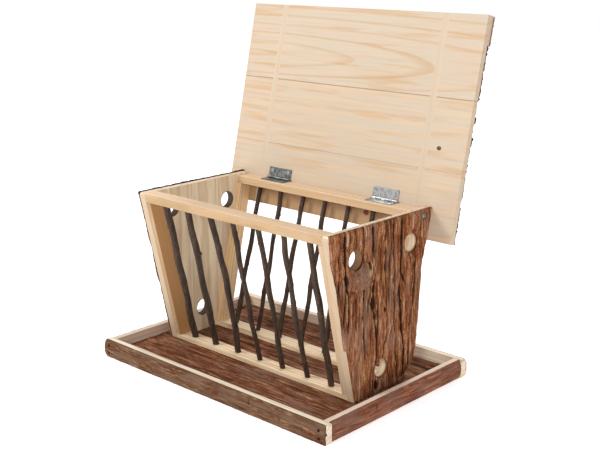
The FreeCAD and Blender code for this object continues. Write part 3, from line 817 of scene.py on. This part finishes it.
def panel_furrows(y, z, holes):
    """Lift and scar of the furrows, the pits and the dish round each hole."""
    lift = 0.5 * soft_noise(y / 30, z / 70, 71)
    scar = np.zeros_like(y)
    wander = 0.7 * soft_noise(y / 40, z / 24, 72)
    for places, heights, width, depth in deep_furrows:
        line = np.interp(-z, [-height for height in heights], places) + wander
        fade = eased((heights[0] - z) / 6) * eased((z - heights[-1]) / 10 + 0.3)
        width = width * (1 + 0.7 * soft_noise(y / 60 + depth, z / 11, 80))
        inside = groove(y - line, width) * fade
        scar = np.maximum(scar, inside)
        lift = lift - depth * inside
    for place, height, size in pits:
        inside = eased(1.5 - np.hypot(y - place, (z - height) / 1.6) / size)
        scar = np.maximum(scar, inside)
        lift = lift - PIT_DEPTH * inside
    for hole_y, hole_z in holes:
        lift = lift - HOLE_DISH * eased((DISH_RIM - np.hypot(y - hole_y, z - hole_z)) / DISH_SLOPE)
    return lift, scar


print("furrows of the panels:", len(deep_furrows))

# %% [markdown]
# Then come a healed knot below the front hole with splinters beside it, a lower layer where the bark
# has flaked off, and pale torn fibres. Each one is a soft spot or band that lifts, cuts or bares the
# bark, and noise inside it makes it rough. They add up, so marks that overlap need no extra work. The
# left panel gets the same marks turned half round, because its outer face isn't seen in the photograph.

# %% Knot, splinters and fibres
KNOT, KNOT_REACH = (-41, 163), (23, 15)
SPLINTERS, SPLINTER_REACH = (-23, 171), (9, 11)
SMOOTH_FOOT, FOOT_REACH = (-35, 37), (13, 26)
LAYER_HEIGHT = 81
THREAD_HEIGHTS = (-131.8, -119.6, -104.2, -86.4)
THREAD_PLACES = (-29.3, -19.4, -10.4, -11.1)


def spot(y, z, place, reach, power=2):
    """One at a place on the panel, falling to zero this far from it across and up."""
    return np.exp(-(((y - place[0]) / reach[0]) ** power) - ((z - place[1]) / reach[1]) ** power)


def panel_marks(y, z, holes=tuple(slab_holes["right"].values())):
    """The big marks of a panel's bark at each point, as the sheet maker takes them."""
    lift, scar = panel_furrows(y, z, holes)
    off_y, off_z = y - KNOT[0], z - KNOT[1]
    round_knot = np.hypot(off_y / KNOT_REACH[0], off_z / KNOT_REACH[1])
    hump = hill(round_knot, 1, 3)
    swirl = soft_noise(round_knot * 7, np.arctan2(off_z, off_y) * 1.6, 78)
    # A ring round the knot sinks a little and is painted dark too: painted shade in its hollow.
    knot_hollow_shade = hill(round_knot - 1.15, 0.12) * eased(0.5 + soft_noise(y / 9, z / 9, 77))
    ripple = hump * slit(swirl, 0.14)
    splinters = spot(y, z, SPLINTERS, SPLINTER_REACH, 4)
    ragged = soft_noise(y / 1.7 + z / 40, z / 13, 74)
    layer_edge = LAYER_HEIGHT + 4 * soft_noise(y / 6, 0.5, 73)
    low_layer = eased((layer_edge - z) / 3) * eased((-40 - y) / 3) * eased((z - 26) / 10)
    smooth_foot = spot(y, z, SMOOTH_FOOT, FOOT_REACH, 4)
    lift = lift + hump * (2.6 + 1.3 * swirl) + splinters * (1.2 + 3.2 * ragged) - 1.3 * low_layer
    lift = lift - 1.2 * knot_hollow_shade - 0.6 * ripple
    scar = np.maximum.reduce((scar, splinters * eased(-0.2 - 2.2 * ragged), 0.6 * knot_hollow_shade, 0.5 * ripple))

    torn = spot(y, z - layer_edge, (-50, 2), (9, 5)) * (0.6 + soft_noise(y / 1.4, z / 8, 75))
    thread = hill(y - np.interp(-z, THREAD_HEIGHTS, THREAD_PLACES), 0.7)
    thread = thread * eased((132 - z) / 4) * eased((z - 86) / 4)
    moss = spot(y, z, (14, 78), (2.5, 12))
    strip = hill(y + 63, 1.2) * eased((z - 200) / 4)
    bare = 0.9 * thread + 0.8 * strip + splinters * eased(0.4 + 2.4 * ragged)
    bare = bare + 0.8 * spot(y, z, (64.5, 182), (2.2, 3)) + 0.7 * spot(y, z, (-21, 150), (4, 2.5))
    pale = 0.9 * torn + 0.35 * smooth_foot + 0.6 * spot(y, z, (57, 53), (6, 6)) + hump * (swirl - 0.3)
    weather = np.clip(0.4 * hump * (1 - splinters) + 0.7 * strip + 0.5 * moss, 0, 1)
    calm = np.clip(0.6 * hump * (1 - splinters) + 0.4 * smooth_foot, 0, 1)
    return {"lift": lift, "scar": scar, "weather": weather, "pale": pale, "calm": calm, "bare": bare}


def turned_marks(y, z):
    """The same marks turned half round, so that the left panel is no copy of the right one."""
    height = rack_foot + rack_top
    holes = [(-hole_y, height - hole_z) for hole_y, hole_z in slab_holes["left"].values()]
    return panel_marks(-y, height - z, holes) | {"core": 0.0}


print("panel marks ready")

# %% [markdown]
# Each side panel is three upright slabs with their bark outside, so it gets three sheets with a seam
# between. One wide sheet with two painted lines would be simpler, but the light would show that there
# is no gap. The outer sheets follow the slope of the rack, and the rear one bulges past the board's
# edge. The panel's bark in the CAD is hidden.

# %% Bark on the side panels
BARE_SCREW = (78.5, 211.25, 3.7)
HOLE_CLEARANCE = 0.6
seam_front, seam_back = [
    (extent("right_panel_%s_board" % first, Y)[1] + extent("right_panel_%s_board" % second, Y)[0]) / 2
    for first, second in (("front", "middle"), ("middle", "back"))]
slab_edges = {
    "front": (lambda z: -half_depth(z), level(seam_front)),
    "middle": (level(seam_front), level(seam_back)),
    "back": (level(seam_back), half_depth),
}
panel_looks = {
    "right": {"scars": panel_marks, "rim_thin": 0.35, "rim_dark": 0.0},
    "left": {"scars": turned_marks, "rim_thin": 0.75, "rim_dark": 0.5},
}


def rear_inset(z):
    """How far the bark stands in from the rear edge; negative where it stands out past it."""
    return np.interp(z, (20, 38, 48, 64, 80, 105, 133, 152, 166, 181, 202, 216),
                     (-1, -13, -14, -12.5, -10.5, -7.2, -3, 1.3, 0.6, -1.7, -2.4, 0.5))


for number, (hand, look) in enumerate(panel_looks.items()):
    node = "%s_panel_bark" % hand
    out = X if hand == "right" else -X
    for order, (part, (low, high)) in enumerate(slab_edges.items()):
        seed = 100 + 40 * number + 10 * order
        fray = frays((1.2, 1.2, 0.8, 1.6 if hand == "right" else 1.2), seed)
        holes = [slab_holes[hand][part] + (HOLE_RADIUS + HOLE_CLEARANCE,)]
        if part == "back":
            fray[1] = rear_inset
            holes.append(BARE_SCREW)
        if hand == "left" and part == "front":
            fray[0] = level(-0.2)
        bark_sheet(
            "%s_panel_%s_bark" % (hand, part), extent(node, out), (Z, Y, out), (rack_foot, rack_top),
            low, high, seed, fray, upright_bark, holes=holes, rim_round=7.0, fibre=0.6, furrow=2.8,
            lump=0.9, **look)
    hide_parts(node)

# %% [markdown]
# On the right panel the bark curls over the front edge of the slab, more and more towards the bottom,
# and breaks off in a step. The panel's sheet could be bent round the corner, but its grid would stretch
# there. So the curl is a narrow sheet of its own, laid on that edge and lapped over the side of the
# panel's bark.

# %% Bark over the front edge
WRAP_STEP = 80.0
WRAP_TOP = 213.0
WRAP_THICK = 1.6
WRAP_LAP = 2.0
wrap_face = extent("right_panel_front_board", OUT_FRONT)[1]
wrap_corner = extent("right_panel_bark", X)[0] + WRAP_LAP


def climb(height):
    """The place along the front edge that has this height."""
    return (height - wrap_face * OUT_FRONT[2]) / UP_FRONT[2]


def wrap_reach(along):
    """Where the curled bark ends on the slab's front edge, across it."""
    heights = np.array((80, 120, 150, 165, 185, 200, 213))
    reach = np.interp(along, climb(heights), (3.6, 1.8, 0.8, 1.5, 3.0, 1.5, 0.3))
    return wrap_corner - WRAP_LAP - reach


bark_sheet("right_panel_front_wrap", (wrap_face, wrap_face + WRAP_THICK), (UP_FRONT, X, OUT_FRONT),
           (climb(WRAP_STEP), climb(WRAP_TOP)), wrap_reach, level(wrap_corner), 180,
           frays((1.0, 0.0, 1.5, 1.0), 176), upright_bark, ridge=6.0, furrow=1.0, lump=0.3)

# %% [markdown]
# The floor of the tray is three boards laid bark side up, running the length of the tray. A flat plane
# with a bump would look smooth at the low angle from which it is seen, so the floor gets the same closed
# sheets as the panels. Their relief is lower and has a cap, to keep it out of the rack that stands on it.

# %% Bark on the tray floor
FLOOR_FURROWS = (-96, -63, -31, -14, 3, 17, 36, 52, 77, 101)


def floor_marks(y, x):
    """Long furrows in the bark of the floor."""
    lift, scar = long_furrows(y, x, FLOOR_FURROWS, 1.6, 250)
    return {"lift": lift, "scar": scar}


for number in range(3):
    low, high = extent("floor_board_%d" % (number + 1), Y)
    seed = 200 + 10 * number
    bark_sheet(
        "floor_bark_%d" % (number + 1), extent("floor_bark", Z), (X, Y, Z), extent("floor_bark", X),
        level(low), level(high), seed, frays((1.0, 1.0, 0.5, 0.5), seed), floor_bark_finish,
        scars=floor_marks, cap=3.5, ridge=9.0, reach=300.0, furrow=1.8, fibre=0.3, lump=0.3)
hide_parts("floor_bark")

# %% [markdown]
# The tray rails are split from thin stems, so their outer faces bulge and the smoother bark on them is
# thin at the upper and lower edge. The long rails have rounded corners at their ends, and the heads of
# two nails show near each end. On the right rail the bark stands a little above the wood. Half pipes
# would give the bulge too, but the sheet maker already does the rest: a lift that falls away towards
# both edges makes the bulge, and rims that draw in near the ends make the corners.

# %% Bark on the tray rails
RAIL_EDGE = 0.8
RAIL_LIP = 1.0
RAIL_CORNER = 3.0
NAIL_HEAD = 1.7
rail_ways = {"front": (X, Z, -Y), "back": (X, Z, Y), "left": (Y, Z, -X), "right": (Y, Z, X)}
nail_spots = [(z, x, NAIL_HEAD) for x in np.add(extent("tray_rail_nails", X), (NAIL_HEAD, -NAIL_HEAD))
              for z in np.add(extent("tray_rail_nails", Z), (NAIL_HEAD, -NAIL_HEAD))]


def rail_marks(low, high, thickness, grey, knot):
    """A maker of the bulge, the grey patches and one dark knot on a rail."""
    def marks(z, run):
        off = (2 * z - low - high) / (high - low)
        patch = grey * (0.5 + 1.2 * soft_noise(run / 32, z / 7, 79))
        dark = 0.6 * spot(run, z, (knot, 17), (2.4, 5))
        lift = -(thickness - RAIL_EDGE) * off**2 - dark
        return {"lift": lift, "weather": np.clip(patch, 0, 1), "scar": dark, "core": 0.0}
    return marks


def rail_rim(place, inward, span):
    """The upper or lower rim of a rail's bark, drawn in round the rail's ends."""
    def rim(run):
        gap = np.clip(RAIL_CORNER - np.minimum(run - span[0], span[1] - run), 0, RAIL_CORNER)
        return place + inward * (RAIL_CORNER - np.sqrt(RAIL_CORNER**2 - gap**2))
    return rim


for number, (part, ways) in enumerate(rail_ways.items()):
    node = "tray_%s_rail_bark" % part
    seed = 300 + 10 * number
    span, (low, high), (face, outer) = [extent(node, way) for way in ways]
    fray = frays((0.4, 0.4, 0.6, 0.6), seed)
    if part == "right":
        fray[1] = frayed(0.4, seed + 6, RAIL_LIP)
    if ways[0] is X:
        edges = rail_rim(low, 1, span), rail_rim(high, -1, span)
        look = {"finish": rail_bark_long, "holes": nail_spots, "fibre": 0.3, "cracked": 0.7}
        grey = 0.7
    else:
        edges = level(low), level(high)
        look = {"finish": rail_bark_short, "fibre": 0.15, "cracked": 0.4}
        grey = 0.3
    marks = rail_marks(low, high, outer - face, grey, 76 - 40 * number)
    sheet = bark_sheet(
        "%s_rail_bark" % part, (face, outer), ways, span, *edges, seed, fray, scars=marks, rim_thin=1.0,
        rim_dark=0.35, ridge=8.0, reach=300.0, furrow=0.9, lump=0.2, **look)
    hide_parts(node)

# %% [markdown]
# The lid carries its bark on the outer side, which faces away while the lid stands open. Its right end
# is broken in short steps, and the upper right corner keeps a thicker piece of its slab. Random fray
# would be easier, but those steps stand out against the white backdrop, so they are listed one by one.
# The sheets ride on the lid's own body, so they turn with it when it closes.

# %% Bark on the lid
lid_rim = extent("lid_front_board", UP_LID)[1]
hinge_line = np.mean(extent("left_hinge_pin", UP_LID))
THICK_CORNER = 35.0
THICK_FROM = 90
THICK_LIFT = 4.6
LID_FURROWS = (-20, 9, 27, 59, 78, 97, 113, 148, 166, 189, 212)
lid_bark_finish = bark("lid_bark_finish", X, UP_LID, core_from=0.4, core=(0.62, 0.44, 0.34, 1))


def lid_marks(s, x):
    """Long furrows, and the thick corner."""
    inside = eased((s - lid_rim + THICK_CORNER) / 1.5)
    inside = inside * eased((x - THICK_FROM + 8 * soft_noise(s / 9, 0.5, 76)) / 9)
    lift, scar = long_furrows(s - hinge_line, x, LID_FURROWS, 2.2, 450)
    return {"lift": THICK_LIFT * inside + lift, "scar": scar, "core": inside}


def lid_end_inset(s):
    """How far the bark's ragged right end stands in from the lid's, up from the hinge line."""
    heights = (3, 5.1, 7, 38, 40.8, 43, 66, 86, 88.5, 91, 94.5, 95.8, 97.5, 104, 106, 113, 115, 131, 133,
               144.5, 146, 148, 170, 193, 196)
    insets = (0.3, -0.4, 1.2, 0.2, -0.4, 1.0, 0.8, -0.6, -0.4, 2.2, 2.0, 0.2, 2.2, 2.2, -0.6, -0.5, 2.2,
              2.0, 0.4, -0.3, -0.3, 0.9, 0.0, -0.5, 0.0)
    return np.interp(s - hinge_line, heights, insets)


for number, part in enumerate(("front", "middle", "back")):
    low, high = extent("lid_%s_board" % part, UP_LID)
    seed = 400 + 10 * number
    fray = frays((1.2, 1.2, 1.5), seed) + [lid_end_inset]
    bark_sheet(
        "lid_%s_bark" % part, extent("lid_bark", OUT_LID), (X, UP_LID, OUT_LID), extent("lid_bark", X),
        level(low), level(high), seed, fray, lid_bark_finish, body="lid", scars=lid_marks, rim_thin=0.9,
        rim_dark=0.55, ridge=12.0, reach=360.0, furrow=2.6, fibre=0.5, lump=0.8)
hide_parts("lid_bark")

# %% [markdown]
# The bars of the rack are thin twigs with their bark on, cut to length and plugged into the frame rails.
# A bevelled curve would make an even pipe, and no twig is one. The CAD gives each twig's crooked middle
# line; here the line is rounded into a smooth curve and a tube is wrapped round it ring by ring, with
# swellings, wrinkles, a few buds and cut side shoots. They fade out where the twig enters its holes.

# %% Twigs
TWIG_RINGS = 150
TWIG_SIDES = 22
TWIG_SHARP = 60
RING_BREAK = 2.0
BUDS = 5
BUD_MARGIN = 18


def twig_rings(node):
    """Middle and radius of each ring of a CAD twig, from foot to head, in millimetres."""
    corners = points(node)
    corners = corners[np.argsort(corners[:, 2])]
    breaks = np.nonzero(np.diff(corners[:, 2]) > RING_BREAK)[0] + 1
    return np.array([(*(ring.min(0) + ring.max(0)) / 2, np.ptp(ring[:, 0]) / 2)
                     for ring in np.split(corners, breaks)])


def rounded(values, spots, wanted):
    """Rows of values at the wanted places, on a smooth curve through the given ones."""
    steps = np.gradient(values, spots, axis=0)
    seat = np.clip(np.searchsorted(spots, wanted) - 1, 0, len(spots) - 2)
    width = (spots[seat + 1] - spots[seat])[:, None]
    part = (wanted - spots[seat])[:, None] / width
    return (values[seat] * (2 * part**3 - 3 * part**2 + 1)
            + steps[seat] * width * (part**3 - 2 * part**2 + part)
            + values[seat + 1] * (3 * part**2 - 2 * part**3)
            + steps[seat + 1] * width * (part**3 - part**2))


def twig(node, seed, stubs=()):
    """A knobbly twig in place of a CAD one; stubs are heights, turns and lengths of cut side shoots."""
    rings = twig_rings(node)
    spots = np.concatenate(([0], np.cumsum(np.linalg.norm(np.diff(rings[:, :3], axis=0), axis=1))))
    wanted = np.linspace(0, spots[-1], TWIG_RINGS)
    line, radius = np.split(rounded(rings, spots, wanted), [3], axis=1)
    free = eased(np.minimum(wanted, spots[-1] - wanted) / 20 - 0.4)
    line[:, 0] += free * 0.35 * soft_noise(wanted / 28, 0.3, seed)
    line[:, 1] += free * 0.35 * soft_noise(wanted / 28, 7.3, seed)

    way = np.gradient(line, axis=0)
    way /= np.linalg.norm(way, axis=1)[:, None]
    first = np.cross(way, Y)
    first /= np.linalg.norm(first, axis=1)[:, None]
    second = np.cross(way, first)
    angle = np.linspace(0, 2 * math.pi, TWIG_SIDES, endpoint=False)
    wrinkle = 0.10 * soft_noise(wanted[:, None] / 3.5, np.cos(angle) * 1.5 + 4, seed + 1)
    wrinkle = wrinkle + 0.14 * soft_noise(wanted[:, None] / 14, np.sin(angle) * 1.2 + 9, seed + 2)
    draw = np.random.default_rng(seed + 3)
    for _ in range(BUDS):
        place = draw.uniform(BUD_MARGIN, spots[-1] - BUD_MARGIN)
        turn = draw.uniform(0, 2 * math.pi)
        facing = (1 + np.cos(angle - turn)) / 2
        wrinkle = wrinkle + hill(wanted - place, 2.2)[:, None] * (0.14 + 0.5 * facing**6)
    for height, turn, length in stubs:
        place = np.interp(height, line[:, 2], wanted)
        facing = (1 + np.cos(angle - turn)) / 2
        wrinkle = wrinkle + hill(wanted - place, 1.7, 4)[:, None] * length * facing**9
    reach = radius + wrinkle * free[:, None]
    corners = (line[:, None, :] + first[:, None, :] * (reach * np.cos(angle))[:, :, None]
               + second[:, None, :] * (reach * np.sin(angle))[:, :, None]).reshape(-1, 3)

    index = np.arange(TWIG_RINGS * TWIG_SIDES).reshape(TWIG_RINGS, TWIG_SIDES)
    beside = np.roll(index, -1, axis=1)
    walls = np.stack((index[:-1], beside[:-1], beside[1:], index[1:]), -1).reshape(-1, 4)
    ends = [index[0].tolist()[::-1], index[-1].tolist()]
    piece = solid(node + "_wood", corners, walls.tolist() + ends, TWIG_SHARP)
    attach(piece, "manger")
    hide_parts(node)
    return piece


print("twig maker ready")

# %% [markdown]
# Twig skin is dark grey-brown, streaked along its length, with small pale pores. The bark of the boards
# would look far too coarse at this size, so the twigs have a finish of their own. All fourteen share it:
# it reads the place of each point, so no two twigs get the same streaks.

# %% Twig finish and the fourteen twigs
SKIN_BLACK = (0.014, 0.007, 0.004, 1)
SKIN_BROWN = (0.052, 0.031, 0.021, 1)
SKIN_GREY = (0.15, 0.096, 0.066, 1)
PORE_TAN = (0.22, 0.16, 0.115, 1)
LEFT_SIDE, RIGHT_SIDE = 0.0, math.pi
side_shoots = {
    "front_twig_1": ((152.9, LEFT_SIDE, 1.6),),
    "front_twig_2": ((147.8, RIGHT_SIDE, 3.6),),
    "front_twig_3": ((162.7, RIGHT_SIDE, 1.4), (140.4, LEFT_SIDE, 1.2)),
    "front_twig_7": ((40.0, RIGHT_SIDE, 1.5),),
    "back_twig_2": ((173.7, RIGHT_SIDE, 1.5),),
}


def twig_skin(name):
    """Smooth young bark with fine streaks and pores."""
    material, wire = new_finish(name)
    run, side, deep = places_along(wire, Z, X, Y)
    fibre = cloud(run / 9, side * 1.3, deep * 1.3, 3.0)
    patch = cloud(run / 30, side / 6, deep / 6)
    pore = cloud(run / 0.9, side / 0.8, deep / 0.8).smooth(0.68, 0.78)
    stops = [(0.30, SKIN_BLACK), (0.5, SKIN_BROWN), (0.72, SKIN_GREY)]
    colour = wire.node("ValToRGB", {"stops": stops}, {"Fac": fibre * 0.6 + patch * 0.4})
    colour = (pore * 0.4).mixed(colour, PORE_TAN)
    close_finish(wire, colour, fibre * 0.25 + 0.5, fibre + pore * 0.5, 0.4, Specular_IOR_Level=0.25)
    return material


skin = twig_skin("twig_skin")
for number, side in enumerate(("front", "back")):
    for order in range(7):
        node = "%s_twig_%d" % (side, order + 1)
        stick = twig(node, 500 + 70 * number + 9 * order, side_shoots.get(node, ()))
        stick.data.materials.append(skin)
print("fourteen twigs made")

# %% [markdown]
# The hinges and screws are zinc-plated steel: a soft metallic grey with faint cloudy patches and fine
# brushed scratches. The left hinge is duller. The heads of the tray nails are a dark rusty red. The
# leaves, pins and heads could be modelled anew, but the CAD shapes are right, so they stay and only get
# a finish.


# %% Steel
def steel(name, bright, dull, roughness):
    """Plated steel with cloudy patches and fine scratches."""
    material, wire = new_finish(name)
    run, side, deep = places_along(wire, X, Y, Z)
    patch = cloud(run / 4, side / 4, deep / 4, 4.0)
    scratch = cloud(run / 6, side * 6, deep * 6)
    colour = patch.smooth(0.35, 0.7).mixed(bright, dull)
    rough = patch * 0.15 + scratch * 0.1 + roughness
    close_finish(wire, colour, rough, scratch, 0.03, Metallic=1.0)
    return material


zinc = steel("zinc_plate", (0.58, 0.59, 0.59, 1), (0.30, 0.31, 0.31, 1), 0.22)
dull_zinc = steel("dull_zinc_plate", (0.30, 0.315, 0.31, 1), (0.10, 0.11, 0.108, 1), 0.30)
nail_head = steel("nail_head", (0.085, 0.024, 0.018, 1), (0.03, 0.010, 0.008, 1), 0.6)
plated = ["%s_hinge_%s" % (hand, part) for hand in ("left", "right")
          for part in ("fixed_leaf", "moving_leaf", "pin")]
plated += ["hinge_rail_screws", "hinge_lid_screws", "panel_screws", "rack_floor_screws"]
for node in plated:
    dress(node, dull_zinc if node.startswith("left") else zinc)
dress("tray_rail_nails", nail_head)
print("steel parts finished:", len(plated) + 1)

# %% [markdown]
# The floor is a plain white sheet, much larger than the view, so that its edge never shows. White paper
# under these lamps would come out grey, so the sheet also glows a little, and only a faint shadow stays
# under the tray. It is a separate object, not attached to the manger.

# %% Studio floor
PAPER = (0.99, 0.99, 0.99, 1)
PAPER_SHADE = (0.97, 0.97, 0.97, 1)
floor_half = 4.0
floor_mesh = bpy.data.meshes.new("studio_floor")
floor_corners = [(x * floor_half, y * floor_half, 0) for x, y in ((-1, -1), (1, -1), (1, 1), (-1, 1))]
floor_mesh.from_pydata(floor_corners, [], [(0, 1, 2, 3)])
studio_floor = bpy.data.objects.new("studio_floor", floor_mesh)
bpy.context.scene.collection.objects.link(studio_floor)
paper, wire = new_finish("white_paper")
run, side, deep = places_along(wire, X, Y, Z)
paper_grain = cloud(run / 2, side / 2, deep)
paper_colour = (paper_grain * 0.2).mixed(PAPER, PAPER_SHADE)
close_finish(wire, paper_colour, paper_grain * 0.1 + 0.85, paper_grain, 0.02,
             Emission_Color=WHITE, Emission_Strength=0.53)
floor_mesh.materials.append(paper)
print("studio floor laid")

# %% End
print("scene built")
